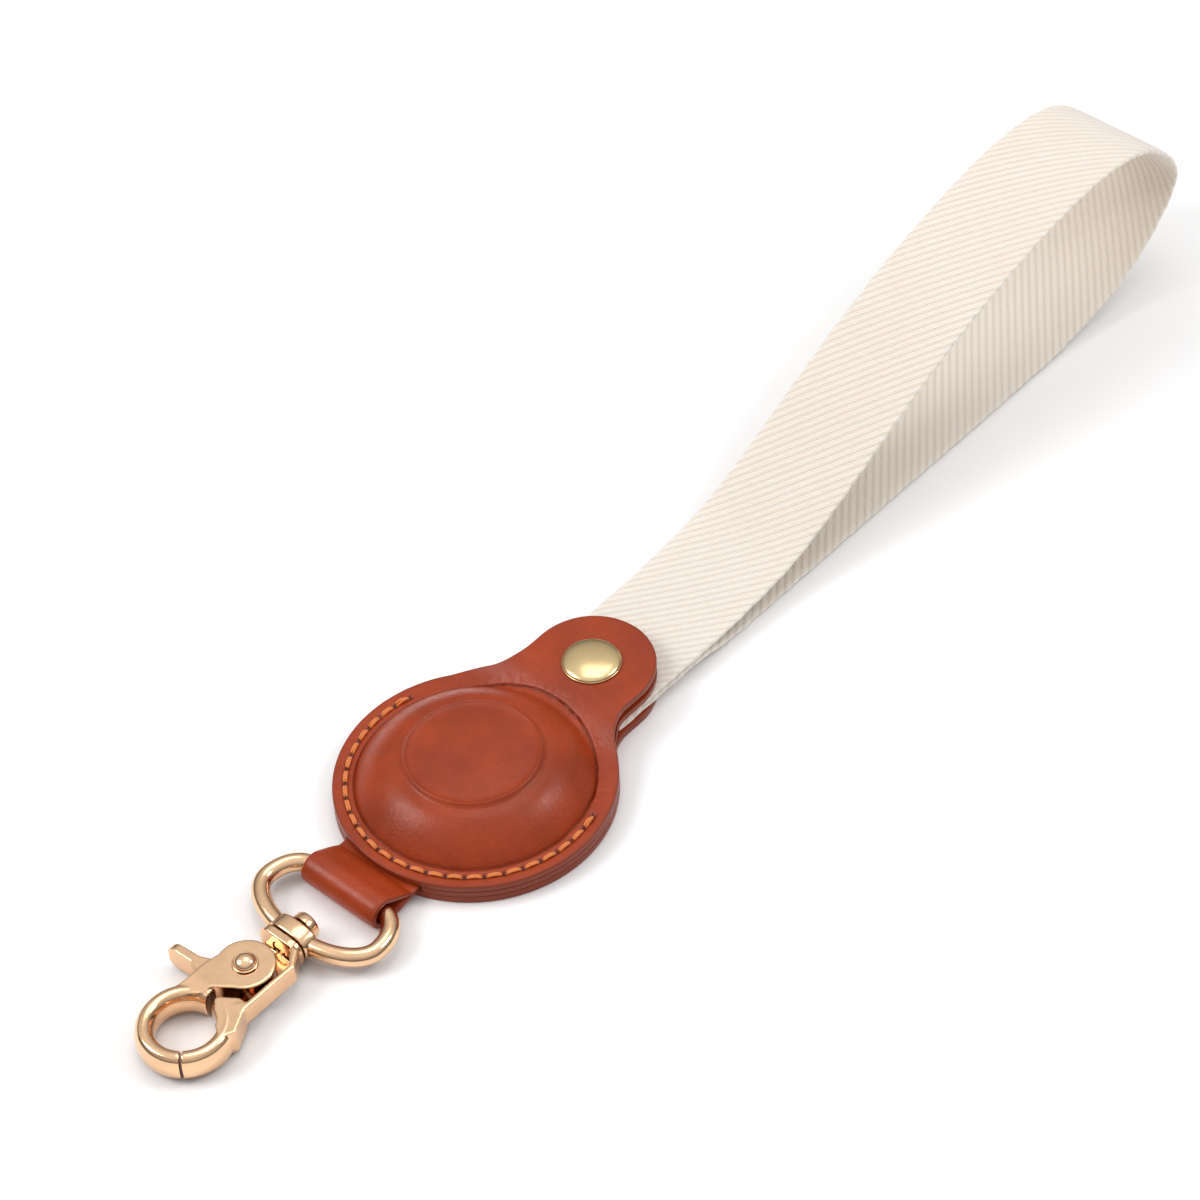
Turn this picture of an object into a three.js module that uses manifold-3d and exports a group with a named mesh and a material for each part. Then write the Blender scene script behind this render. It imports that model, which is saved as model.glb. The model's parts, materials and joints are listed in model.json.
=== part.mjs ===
// Wristlet keychain: a round leather pouch for a tracker tag, with a webbing
// wrist loop on its neck and a swivel lobster clasp on a leather loop.
//
// Millimetres, +Z up. The origin is on the underside of the back cover, under
// the middle of the round pouch. The wrist loop runs along +Y, the clasp along
// -Y, and the moulded dome of the pouch faces +Z.

import * as THREE from 'three';
import { mergeVertices } from 'three/addons/utils/BufferGeometryUtils.js';
import Module from 'manifold-3d';

const wasm = await Module();
wasm.setup();

// ---------------------------------------------------------------- dimensions

// Leather, from the back of the pouch to the front.
const back_leather = 1.3;
const liner_leather = 1.0;
const front_leather = 1.2;
const dome_leather = 1.1; // moulding stretches it thinner

// The round pouch.
const disc_radius = 22.6;
const dome_radius = 19.1; // at the crease where the dome meets the flat rim
const dome_top = 10.0; // height of the plateau's middle
const ring_radius = 10.8; // embossed ring round the plateau
const tag_radius = 16.0; // the round tag that the pouch is made for

// The neck, its flap and its snap.
const snap_distance = 27.7; // from the middle of the pouch
const neck_margin = 0.4; // leather past each edge of the webbing
const neck_fillet = 8.0;
const flap_gap = 1.1; // room for the snap between the liner and the flap
const snap_cap_radius = 4.9;
const socket_radius = 4.3;
const stud_radius = 1.75;
const stud_play = 0.65; // the flap swings, so its socket moves sideways as it lifts
const post_radius = 1.2;

// Webbing.
const webbing_width = 20;
const webbing_thickness = 1.05;
const loop_reach = 133; // from the end of the neck to the far bend
const loop_height = 33.5; // top of the upper ply at its crest

// Stitching round the lower edge of the pouch.
const stitch_inset = 1.4; // outside the dome's crease
const stitch_end = 5.8; // the seam stops this far above the middle
const thread_size = 0.6;

// The leather loop that carries the clasp.
const loop_width = 15.6;
const loop_leather = 1.2;
const loop_tuck = 4.8; // how far its skived ends go in between the covers
const loop_length = 8.9; // from the edge of the pouch to the outside of the fold

// Clasp.
const wire_radius = 1.5;
const ring_opening = 20.6; // inside width of the D ring
const ring_depth = 12.0; // from the bar's middle to the arc's middle
const ring_corner = 5.8; // along Y; its width is what the straight bar leaves
const collar_width = 8.2;
const collar_length = 2 * wire_radius; // covers the wire, so that the pin head clears it
const swivel_radius = 1.1;
const swivel_head_radius = 2.3;
const flange_length = 1.4;
const rivet_distance = 9.9; // from the middle of the D ring's arc to the lever's rivet
const eye_distance = 13.2; // from the rivet to the middle of the hook's eye
const eye_radius = 4.7;
const eye_offset = 0.4; // of the eye towards the fixed jaw
const jaw_width = 3.1;
const jaw_height = 5.2;
const hub_radius = 4.7;
const rivet_radius = 1.2;
const trigger_reach = 12.6; // from the rivet to the tip of the trigger
const arm_thickness = 0.9;
const arm_lift = 1.6; // the arm's underside stands above the jaws' underside
const plate_thickness = 1.4;
const spring_wire = 0.5;

// Clearances.
const layer_gap = 0.1; // between layers that lie flat on each other
const cut_gap = 0.3; // between a piece and a neighbour cut round it
const running_gap = 0.25; // round a shaft that turns
const floor_gap = 0.05; // under what hangs just clear of the table

// ------------------------------------------------------------ derived levels

const liner_bottom = back_leather + layer_gap;
const liner_top = liner_bottom + liner_leather;
const front_bottom = liner_top + layer_gap;
const front_top = front_bottom + front_leather;

const webbing_stack = 2 * webbing_thickness + layer_gap;
const neck_liner_bottom = liner_bottom + webbing_stack + layer_gap;
const neck_liner_top = neck_liner_bottom + liner_leather;
const flap_bottom = neck_liner_top + flap_gap;
const flap_top = flap_bottom + front_leather;

const neck_half_width = webbing_width / 2 + neck_margin;
const neck_end = snap_distance + neck_half_width;
const hinge_y = stitch_end + 1.2;
const webbing_start = disc_radius; // the webbing's ends stop at the edge of the round
const liner_ramp = [webbing_start - 3.5, webbing_start - cut_gap];
const flap_ramp = [disc_radius - 9.6, snap_distance - socket_radius - 0.1];
const stitch_radius = dome_radius + stitch_inset;

const fold_radius = wire_radius + running_gap / 2 + loop_leather;
const axle_height = fold_radius + floor_gap; // of the D ring's bar and of the swivel
const bar_y = -(disc_radius + loop_length - fold_radius);
const arc_y = bar_y - ring_depth;
const rivet_y = arc_y - rivet_distance;
const eye_y = rivet_y - eye_distance;

// ------------------------------------------------------------------- helpers

// A solid for cutting and joining, made from a closed three.js geometry.
function solid(geometry) {
  const bare = geometry.clone();
  bare.deleteAttribute('normal');
  bare.deleteAttribute('uv');
  const merged = mergeVertices(bare, 1e-4);
  const corners = merged.index.array;
  const faces = [];
  for (let i = 0; i < corners.length; i += 3) {
    const [a, b, c] = corners.slice(i, i + 3);
    if (a !== b && b !== c && c !== a) faces.push(a, b, c);
  }
  return new wasm.Manifold(new wasm.Mesh({
    numProp: 3,
    vertProperties: new Float32Array(merged.attributes.position.array),
    triVerts: new Uint32Array(faces),
  }));
}

function geometryOf(manifold) {
  const mesh = manifold.getMesh();
  const geometry = new THREE.BufferGeometry();
  geometry.setAttribute('position', new THREE.BufferAttribute(mesh.vertProperties, 3));
  geometry.setIndex(new THREE.BufferAttribute(mesh.triVerts, 1));
  return geometry;
}

// A flat outline drawn in X and Y, from one height to another.
function plate(shape, low, high, curveSegments = 12) {
  const options = { depth: high - low, bevelEnabled: false, curveSegments };
  return solid(new THREE.ExtrudeGeometry(shape, options).translate(0, 0, low));
}

// A side profile drawn in Y and Z, carried across the whole width in X.
function across(shape, width, curveSegments = 12) {
  const options = { depth: width, bevelEnabled: false, curveSegments };
  const turn = new THREE.Matrix4().makeBasis(
    new THREE.Vector3(0, 1, 0), new THREE.Vector3(0, 0, 1), new THREE.Vector3(1, 0, 0));
  const geometry = new THREE.ExtrudeGeometry(shape, options).translate(0, 0, -width / 2);
  return solid(geometry.applyMatrix4(turn));
}

// A profile drawn in X and Z, carried along Y from one place to another.
function along(shape, low, high, curveSegments = 12) {
  const options = { depth: high - low, bevelEnabled: false, curveSegments };
  const geometry = new THREE.ExtrudeGeometry(shape, options);
  return solid(geometry.rotateX(Math.PI / 2).translate(0, high, 0));
}

// A profile of [radius, height] points turned round a vertical axis. The points
// go up the outside, and the profile starts and ends on the axis or is closed.
function turned(points, x, y, segments = 40) {
  const profile = points.map(([r, z]) => new THREE.Vector2(r, z));
  const geometry = new THREE.LatheGeometry(profile, segments);
  return solid(geometry.rotateX(Math.PI / 2).translate(x, y, 0));
}

function cylinder(radius, low, high, x, y, segments = 28) {
  return turned([[0, low], [radius, low], [radius, high], [0, high]], x, y, segments);
}

// A cylinder whose axis runs along Y.
function rod(radius, low, high, z, segments = 24) {
  const geometry = new THREE.CylinderGeometry(radius, radius, high - low, segments);
  return solid(geometry.translate(0, (low + high) / 2, z));
}

function block(low, high) {
  const size = high.map((value, i) => value - low[i]);
  const middle = high.map((value, i) => (value + low[i]) / 2);
  return solid(new THREE.BoxGeometry(...size).translate(...middle));
}

// A big block that keeps only what lies before or past a place along Y.
const far = 400;
const before = (y) => block([-far, -far, -far], [far, y, far]);
const past = (y) => block([-far, y, -far], [far, far, far]);

function outline(points) {
  const shape = new THREE.Shape();
  points.forEach(([x, y], i) => (i ? shape.lineTo(x, y) : shape.moveTo(x, y)));
  shape.closePath();
  return shape;
}

// A rectangle with rounded corners about a centre.
function rounded(centre_x, centre_y, half_x, half_y, corner) {
  const shape = new THREE.Shape();
  const [right, top] = [half_x - corner, half_y - corner];
  shape.absarc(centre_x + right, centre_y + top, corner, 0, Math.PI / 2);
  shape.absarc(centre_x - right, centre_y + top, corner, Math.PI / 2, Math.PI);
  shape.absarc(centre_x - right, centre_y - top, corner, Math.PI, 1.5 * Math.PI);
  shape.absarc(centre_x + right, centre_y - top, corner, 1.5 * Math.PI, 2 * Math.PI);
  return shape;
}

const smooth = (t) => t * t * (3 - 2 * t);

// The keyhole outline that the covers share: a disc, and a tab with a round end.
function keyhole() {
  const fillet_x = neck_half_width + neck_fillet;
  const fillet_y = Math.sqrt((disc_radius + neck_fillet) ** 2 - fillet_x ** 2);
  const turn = Math.atan2(fillet_y, fillet_x);
  const shape = new THREE.Shape();
  shape.absarc(0, snap_distance, neck_half_width, 0, Math.PI, false);
  shape.absarc(-fillet_x, fillet_y, neck_fillet, 0, -turn, true);
  shape.absarc(0, 0, disc_radius, Math.PI - turn, 2 * Math.PI + turn, false);
  shape.absarc(fillet_x, fillet_y, neck_fillet, Math.PI + turn, Math.PI, true);
  return shape;
}

// A sheet of even thickness that steps up smoothly from the disc to the neck.
function steppedSheet(low, high, thickness, ramp) {
  const steps = 6;
  const start = -disc_radius - 1;
  const end = neck_end + 1;
  const bottom = [[start, low]];
  for (let i = 0; i <= steps; i++) {
    const y = THREE.MathUtils.lerp(ramp[0], ramp[1], i / steps);
    bottom.push([y, THREE.MathUtils.lerp(low, high, smooth(i / steps))]);
  }
  bottom.push([end, high]);
  const top = bottom.map(([y, z]) => [y, z + thickness]).reverse();
  const sheet = across(outline([...bottom, ...top]), 3 * disc_radius);
  return sheet.intersect(plate(keyhole(), -1, dome_top + 5, 20));
}

// -------------------------------------------------------------------- pouch

const snap_hole = post_radius + running_gap;
const seam_groove = thread_size / 2 + 0.15;

// The groove that the stitching lies in, as a ring cut out of a cover's face.
function seamRing(half_width, low, high) {
  const [inner, outer] = [stitch_radius - half_width, stitch_radius + half_width];
  return turned([[inner, low], [outer, low], [outer, high], [inner, high], [inner, low]], 0, 0, 64);
}

function backCover() {
  const recess_radius = snap_cap_radius + cut_gap;
  const recess_depth = 0.9;
  const groove = seamRing(seam_groove, -1, thread_size - 0.1).intersect(before(stitch_end + cut_gap));
  return plate(keyhole(), 0, back_leather, 20)
    .subtract(cylinder(snap_hole, -1, back_leather + 1, 0, snap_distance))
    .subtract(cylinder(recess_radius, -1, recess_depth, 0, snap_distance, 36))
    .subtract(groove);
}

// The middle leather: it seats the tag in its window and holds the webbing down.
function liner() {
  const notch_half = loop_width / 2 + cut_gap;
  const notch = block([-notch_half, -far, -1], [notch_half, -disc_radius + loop_tuck + cut_gap, far]);
  return steppedSheet(liner_bottom, neck_liner_bottom, liner_leather, liner_ramp)
    .subtract(cylinder(tag_radius + cut_gap, -1, far, 0, 0, 48))
    .subtract(cylinder(snap_hole, -1, far, 0, snap_distance))
    .subtract(notch);
}

// The dome's cross-section: a bulging shoulder, the embossed ring and the
// plateau outside, and the same shape one thickness lower inside.
function domeProfile() {
  const foot = ring_radius + 0.7;
  const foot_height = dome_top - 1.0;
  const bulge = 1.8;
  const steps = 7;
  const shoulder = (outer, base, top, inset) => {
    const points = [];
    for (let i = 0; i <= steps; i++) {
      const t = i / steps;
      const radius = THREE.MathUtils.lerp(outer, foot - inset, t);
      points.push([radius, base + (top - base) * (1 - (1 - t) ** bulge)]);
    }
    return points;
  };
  const outside = [
    [dome_radius, front_bottom],
    ...shoulder(dome_radius, front_top, foot_height, 0),
    [ring_radius, dome_top - 0.5],
    [ring_radius - 0.7, dome_top - 0.45],
    [ring_radius / 2, dome_top - 0.1],
    [0, dome_top],
  ];
  const inner_radius = dome_radius - dome_leather;
  const inside = shoulder(inner_radius, front_bottom, foot_height - dome_leather, dome_leather / 2);
  return [...outside, [0, dome_top - dome_leather], ...inside.reverse(), [dome_radius, front_bottom]];
}

// Front leather, stitched part and flap in one piece before it is divided.
function frontSheet() {
  const hollow = cylinder(dome_radius - dome_leather, -1, far, 0, 0, 48);
  return steppedSheet(front_bottom, flap_bottom, front_leather, flap_ramp)
    .subtract(hollow)
    .add(turned(domeProfile(), 0, 0, 48));
}

function frontCover(sheet) {
  const groove = seamRing(seam_groove, front_top - thread_size + 0.1, far)
    .intersect(before(stitch_end + cut_gap));
  return sheet.intersect(before(hinge_y - cut_gap / 2)).subtract(groove);
}

function flap(sheet) {
  return sheet.intersect(past(hinge_y + cut_gap / 2))
    .subtract(cylinder(stud_radius + stud_play + 1.0, front_top + 1, far, 0, snap_distance));
}

// One line of thread lying in its groove, as an arc that stops at both seam ends.
function thread(low) {
  return seamRing(thread_size / 2, low, low + thread_size - 0.15).intersect(before(stitch_end));
}

// ---------------------------------------------------------------------- snap

// Rear cap and shank: through the back cover, the webbing and the liner.
function snapPost() {
  const cap = 0.75;
  const edge = 0.25;
  const shank_top = neck_liner_top + 1.4;
  return turned([
    [0, floor_gap], [snap_cap_radius - edge, floor_gap], [snap_cap_radius, floor_gap + edge],
    [snap_cap_radius, cap], [post_radius, cap], [post_radius, shank_top], [0, shank_top],
  ], 0, snap_distance, 32);
}

function snapStud() {
  const bore = post_radius + layer_gap;
  const foot = neck_liner_top + 0.05;
  const head = foot + 1.75;
  return turned([
    [bore, foot], [3.3, foot], [3.3, foot + 0.25], [stud_radius - 0.2, foot + 0.3],
    [stud_radius - 0.2, foot + 0.7], [stud_radius, foot + 1.0], [stud_radius, head - 0.3],
    [stud_radius - 0.3, head], [bore, head], [bore, foot],
  ], 0, snap_distance, 32);
}

const socket_bore = stud_radius + stud_play;

// The socket under the flap, with the groove that its ring spring sits in.
function snapSocket() {
  const low = flap_bottom - 0.65;
  const high = flap_bottom - 0.05;
  return turned([
    [socket_bore + 0.1, low], [socket_radius - 0.2, low], [socket_radius, low + 0.2], [socket_radius, high],
    [socket_bore + 0.85, high], [socket_bore + 0.85, low + 0.15], [socket_bore + 0.1, low + 0.15],
    [socket_bore + 0.1, low],
  ], 0, snap_distance, 32);
}

function snapSpring() {
  const middle = [socket_bore + 0.45, flap_bottom - 0.27];
  return ringOf(middle, 0.17, 8, snap_distance, 32);
}

// A plain round-wire ring about the vertical axis at one place along Y.
function ringOf([radius, height], wire, sides, y, segments) {
  const points = [];
  for (let i = 0; i <= sides; i++) {
    const angle = (2 * Math.PI * (i % sides)) / sides;
    points.push([radius + wire * Math.cos(angle), height + wire * Math.sin(angle)]);
  }
  return turned(points, 0, y, segments);
}

// Domed cap with the collar that holds the socket through the flap.
function snapCap() {
  const seat = flap_top + 0.05;
  const rim = 0.4;
  const crown = 1.3;
  const inner = socket_bore;
  const collar_low = flap_bottom + 0.05;
  const dome = [];
  const steps = 6;
  for (let i = 0; i <= steps; i++) {
    const angle = (i / steps) * (Math.PI / 2);
    dome.push([snap_cap_radius * Math.cos(angle), seat + rim + (crown - rim) * Math.sin(angle)]);
  }
  dome[steps][0] = 0;
  return turned([
    [inner, collar_low], [inner + 0.7, collar_low], [inner + 0.7, seat],
    [snap_cap_radius - 0.2, seat], ...dome, [0, seat + rim], [inner, seat + rim], [inner, collar_low],
  ], 0, snap_distance, 36);
}

// ------------------------------------------------------------------- webbing

// The two ends of the webbing, glued one on the other inside the neck.
function webbingEnds() {
  const end = neck_end + 0.4;
  const half = webbing_width / 2;
  const flat = outline([[-half, webbing_start], [half, webbing_start], [half, end], [-half, end]]);
  const under_back = plate(keyhole(), -1, far, 20).add(block([-half, snap_distance, -1], [half, end, far]));
  return plate(flat, liner_bottom, liner_bottom + webbing_stack)
    .intersect(under_back)
    .subtract(cylinder(snap_hole, -1, far, 0, snap_distance));
}

const bend_y = neck_end + 0.6;
const bend_z = liner_bottom + webbing_stack / 2;
const bend_room = THREE.MathUtils.degToRad(62);

// Middle line of the wrist loop, seen from the side: up along the upper ply,
// round the far bend and back flat along the table.
function loopLine() {
  const ply = webbing_thickness / 2;
  const at = (y, z) => new THREE.Vector2(neck_end + y * loop_reach, z);
  const up = loop_height - ply;
  return new THREE.SplineCurve([
    at(0.035, bend_z + ply + 0.1), at(0.11, 0.09 * up + ply), at(0.21, 0.17 * up), at(0.31, 0.33 * up),
    at(0.42, 0.54 * up), at(0.55, 0.765 * up), at(0.69, 0.93 * up), at(0.81, up),
    at(0.91, 0.95 * up), at(0.975, 0.77 * up), at(1.0, 0.56 * up), at(0.965, 0.35 * up),
    at(0.89, 0.15 * up), at(0.81, 0.045 * up + ply), at(0.73, ply + floor_gap),
    at(0.55, ply + floor_gap), at(0.3, ply + floor_gap), at(0.11, ply + floor_gap),
    at(0.035, bend_z - ply - 0.1),
  ]);
}

// The free loop as one closed band. Its root ends in a wedge, which leaves room
// for the bend at the neck.
function webbingLoop() {
  const steps = 84;
  const ply = webbing_thickness / 2;
  const line = loopLine().getSpacedPoints(steps);
  for (const point of line) point.y = Math.max(point.y, ply + floor_gap);
  const outer = [];
  const inner = [];
  line.forEach((point, i) => {
    const ahead = line[Math.min(i + 1, steps)].clone().sub(line[Math.max(i - 1, 0)]).setLength(ply);
    outer.push([point.x - ahead.y, point.y + ahead.x]);
    inner.push([point.x + ahead.y, point.y - ahead.x]);
  });
  const half = webbing_stack / 2;
  const tip = bend_y + 0.2;
  const wedge = tip + half * Math.tan(bend_room);
  const root = [[wedge, bend_z - half], [tip, bend_z], [wedge, bend_z + half]];
  const band = across(outline([...root, ...outer]), webbing_width);
  const opening = across(outline(inner.slice(3, -3)), webbing_width + 2);
  return band.subtract(opening);
}

// ------------------------------------------------------------- leather loop

// The two places where a line from a point touches a circle.
function touches([py, pz], [cy, cz], radius) {
  const away = Math.atan2(pz - cz, py - cy);
  const spread = Math.acos(radius / Math.hypot(py - cy, pz - cz));
  return [away + spread, away - spread];
}

// A strip folded round the D ring's bar, with both ends skived and tucked in.
function ringLoop() {
  const centre = [bar_y, axle_height];
  const tuck_end = -disc_radius + loop_tuck;
  const mouth = -disc_radius - cut_gap;
  const [top] = touches([mouth, liner_top], centre, fold_radius);
  const [, bottom] = touches([mouth, liner_bottom], centre, fold_radius);
  const shape = new THREE.Shape();
  shape.moveTo(tuck_end, liner_bottom);
  shape.lineTo(tuck_end, liner_top);
  shape.lineTo(mouth, liner_top);
  shape.absarc(...centre, fold_radius, top, bottom + 2 * Math.PI, false);
  shape.lineTo(mouth, liner_bottom);
  shape.closePath();
  const eye = [mouth - 0.8, (liner_bottom + liner_top) / 2];
  const inner = fold_radius - loop_leather;
  const [eye_top, eye_bottom] = touches(eye, centre, inner);
  const hole = new THREE.Path();
  hole.absarc(...centre, inner, eye_top, eye_bottom + 2 * Math.PI, false);
  hole.lineTo(...eye);
  hole.closePath();
  shape.holes.push(hole);
  return across(shape, loop_width, 14);
}

// --------------------------------------------------------------------- clasp

// Middle line of the D ring's wire, from one side of the joint in its bar,
// round both corners and the arc, to the other side.
class RingWire extends THREE.Curve {
  getPoint(t, target = new THREE.Vector3()) {
    const half = ring_opening / 2 + wire_radius;
    const straight = loop_width / 2 - 0.3;
    const joint = 0.06;
    const side = t < 0.5 ? 1 : -1;
    const s = t < 0.5 ? 2 * t : 2 - 2 * t;
    let x;
    let y;
    if (s < 0.2) {
      x = THREE.MathUtils.lerp(joint, straight, s / 0.2);
      y = bar_y;
    } else if (s < 0.45) {
      const angle = ((s - 0.2) / 0.25) * (Math.PI / 2);
      x = straight + (half - straight) * Math.sin(angle);
      y = bar_y - ring_corner + ring_corner * Math.cos(angle);
    } else {
      const angle = ((s - 0.45) / 0.55) * (Math.PI / 2);
      x = half * Math.cos(angle);
      y = bar_y - ring_corner - (ring_depth - ring_corner) * Math.sin(angle);
    }
    return target.set(side * x, y, axle_height);
  }
}

// Round-wire section for a swept tube.
function wireSection(radius, sides) {
  const points = [];
  for (let i = 0; i < sides; i++) {
    const angle = (2 * Math.PI * i) / sides;
    points.push([radius * Math.cos(angle), radius * Math.sin(angle)]);
  }
  return outline(points);
}

function dRing() {
  const options = { steps: 72, extrudePath: new RingWire(), bevelEnabled: false };
  const wire = solid(new THREE.ExtrudeGeometry(wireSection(wire_radius, 16), options));
  const half = collar_length / 2;
  const low = floor_gap + 0.15;
  const tall = axle_height - low;
  const section = rounded(0, axle_height, collar_width / 2, tall, tall - 0.1);
  const collar = along(section, arc_y - half, arc_y + half, 6);
  const bore = rod(swivel_radius + running_gap, arc_y - 5, arc_y + 5, axle_height);
  return wire.add(collar).subtract(bore);
}

const flange_top = arc_y - collar_length / 2 - cut_gap;
const flange_bottom = flange_top - flange_length;

// Shaft with a peened head, which lets the hook turn in the D ring's collar.
function swivelPin() {
  const head_low = arc_y + collar_length / 2 + cut_gap;
  const head = 1.9;
  const shaft = rod(swivel_radius, flange_bottom + 0.2, head_low + 0.2, axle_height);
  const points = [
    [0, 0], [swivel_head_radius, 0], [swivel_head_radius, head * 0.45],
    [swivel_head_radius * 0.8, head * 0.8], [swivel_head_radius * 0.45, head], [0, head],
  ];
  const profile = points.map(([r, h]) => new THREE.Vector2(r, h));
  const geometry = new THREE.LatheGeometry(profile, 24).translate(0, head_low, axle_height);
  return shaft.add(solid(geometry));
}

const jaw_low = axle_height - jaw_height / 2;
const jaw_high = axle_height + jaw_height / 2;
const jaw_middle = eye_radius + jaw_width / 2;
const spring_room = 0.325; // below and above the spring, between the back plate and the hub
const hub_low = jaw_low + plate_thickness + spring_wire + spring_room;
const hub_high = jaw_high + 0.4;
const arm_inner = hub_radius + cut_gap;

// The full ring of the two jaws, with a rounded section.
function jawRing() {
  const sides = 16;
  const points = [];
  for (let i = 0; i <= sides; i++) {
    const angle = (2 * Math.PI * (i % sides)) / sides;
    const [c, s] = [Math.cos(angle), Math.sin(angle)];
    const round = (value) => Math.sign(value) * Math.abs(value) ** 0.85;
    points.push([jaw_middle + round(c) * jaw_width / 2, axle_height + round(s) * jaw_height / 2]);
  }
  return turned(points, eye_offset, eye_y, 56);
}

// A wedge of space about the eye between two angles, in degrees from +X.
function sector(from, to) {
  const reach = 3 * jaw_middle;
  const steps = 8;
  const points = [[eye_offset, eye_y]];
  for (let i = 0; i <= steps; i++) {
    const angle = THREE.MathUtils.degToRad(THREE.MathUtils.lerp(from, to, i / steps));
    points.push([eye_offset + reach * Math.cos(angle), eye_y + reach * Math.sin(angle)]);
  }
  return plate(outline(points), -1, jaw_high + 5);
}

const seam_angle = -50;
const seam_half = THREE.MathUtils.radToDeg(cut_gap / 2 / jaw_middle);
const jaw_top_angle = 84;

// The space inside the jaws, to clear what joins them.
const eyeSpace = () => cylinder(eye_radius, -1, far, eye_offset, eye_y, 56);

// The hook's fixed half: flange, arm, back plate and right jaw. The end of the
// jaw beside the lever's neck is slanted.
function hookBody() {
  const half_flange = collar_width / 2;
  const section = rounded(0, axle_height, half_flange, axle_height - floor_gap - 0.1, 2.2);
  const flange = along(section, flange_bottom, flange_top, 6);
  const arm_outer = arm_inner + arm_thickness;
  const arm_end = rivet_y - hub_radius - 0.2;
  const arm = plate(outline([
    [half_flange - 1.6, flange_bottom + 0.5], [half_flange - 0.1, flange_bottom + 0.5],
    [arm_outer, flange_bottom - 2.2], [arm_outer, arm_end - 1.5],
    [arm_inner - 1.2, arm_end - 1.5], [arm_inner, arm_end], [arm_inner, flange_bottom - 2.6],
  ]), jaw_low + arm_lift, jaw_high);
  const tip = [0.9, eye_y + eye_radius + 1.7];
  const heel = [3.6, arm_end];
  const shoulder = plate(outline([
    heel, [arm_inner, arm_end], [arm_outer, arm_end - 1.2],
    [eye_offset + eye_radius + jaw_width - 0.4, eye_y + 3.4], [eye_offset + jaw_middle, eye_y + 1.0],
    [eye_offset + eye_radius * 0.7, eye_y + eye_radius * 0.6], [tip[0], tip[1] - 0.7], tip,
  ]), jaw_low + 0.4, jaw_high - 0.05);
  const back = plate(outline([
    [-half_flange + 0.6, flange_bottom + 0.5], [half_flange - 0.6, flange_bottom + 0.5],
    [hub_radius - 0.5, rivet_y], [heel[0] + 1.2, arm_end - 1.0], [heel[0] - 0.6, arm_end - 1.5],
    [heel[0] - 1.6, rivet_y - hub_radius + 0.4], [-hub_radius + 0.8, rivet_y],
  ]), jaw_low, jaw_low + plate_thickness)
    .add(cylinder(hub_radius - 0.4, jaw_low, jaw_low + plate_thickness, 0, rivet_y));
  const beyond_shoulder = plate(outline([
    [2 * tip[0] - heel[0], 2 * tip[1] - heel[1]], heel, [heel[0], rivet_y], [-heel[0], rivet_y],
  ]), -1, far);
  const jaw = jawRing().intersect(sector(seam_angle + seam_half, jaw_top_angle)).subtract(beyond_shoulder);
  const rivet_hole = cylinder(rivet_radius + layer_gap, -1, far, 0, rivet_y, 24);
  const pin_hole = rod(swivel_radius + layer_gap, flange_bottom - 1, flange_top + 1, axle_height);
  return flange.add(arm).add(shoulder.subtract(eyeSpace())).add(back).add(jaw)
    .subtract(rivet_hole).subtract(pin_hole);
}

// The neck between hub and jaw, flush with the hub and falling towards the jaw.
function leverNeck() {
  const left = -hub_radius - 0.3;
  const top_of_eye = eye_y + eye_radius;
  const neck = plate(outline([
    [left + 0.5, rivet_y - 1.0], [left, rivet_y - 3.4], [left, rivet_y - 7.0],
    [left - 0.5, eye_y + 4.3], [left - 0.7, eye_y + 2.8], [left + 0.5, eye_y + 2.0],
    [-3.2, eye_y + 3.9], [-1.3, top_of_eye + 0.6], [-0.9, top_of_eye + 2.1],
    [2.6, rivet_y - hub_radius + 0.9], [0, rivet_y],
  ]), jaw_low + 0.3, hub_high);
  const fall = [[top_of_eye + 2.2, hub_high], [eye_y + 1.0, jaw_high - 1.0]];
  const above = across(outline([...fall, [eye_y + 1.0, far], [top_of_eye + 2.2, far]]), far);
  return neck.subtract(above).subtract(eyeSpace());
}

// Thumb trigger: a thin tongue that stands on edge, with a round tip.
function trigger() {
  const root = rivet_y - 3.4;
  const bar = plate(outline([
    [-hub_radius + 0.4, root + 1.7], [-hub_radius - 2.2, root + 0.5], [-trigger_reach + 0.5, root + 0.1],
    [-trigger_reach, root - 0.6], [-trigger_reach + 0.3, root - 1.4], [-hub_radius - 2.6, root - 1.1],
    [-hub_radius - 1.2, root - 1.8], [-hub_radius + 0.6, root - 3.0],
  ]), jaw_low, jaw_high);
  const half_length = trigger_reach / 2;
  const half_height = jaw_height / 2 - 0.35;
  const tongue = rounded(-half_length, axle_height, half_length, half_height, half_height - 0.1);
  return bar.intersect(along(tongue, rivet_y - hub_radius * 3, rivet_y));
}

// The sprung half: hub, left jaw and thumb trigger.
function lever() {
  const hub = cylinder(hub_radius, hub_low, hub_high, 0, rivet_y, 48);
  const jaw = jawRing().intersect(sector(98, 360 + seam_angle - seam_half));
  const shank_room = cylinder(hub_radius + 0.5, -1, hub_low, 0, rivet_y, 40);
  const rivet_hole = cylinder(rivet_radius + running_gap, -1, far, 0, rivet_y, 24);
  return hub.add(leverNeck()).add(trigger()).add(jaw).subtract(shank_room).subtract(rivet_hole);
}

function leverRivet() {
  const low = jaw_low + 0.05;
  const seat = hub_high + 0.1;
  const head = 2.0;
  const rise = 1.2;
  const dome = [];
  const steps = 6;
  for (let i = 0; i <= steps; i++) {
    const angle = (i / steps) * (Math.PI / 2);
    dome.push([head * 0.88 * Math.cos(angle), seat + 0.25 + rise * Math.sin(angle)]);
  }
  dome[steps][0] = 0;
  return turned([
    [0, low], [rivet_radius, low], [rivet_radius, seat], [head, seat], [head, seat + 0.25], ...dome,
  ], 0, rivet_y, 28);
}

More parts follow.
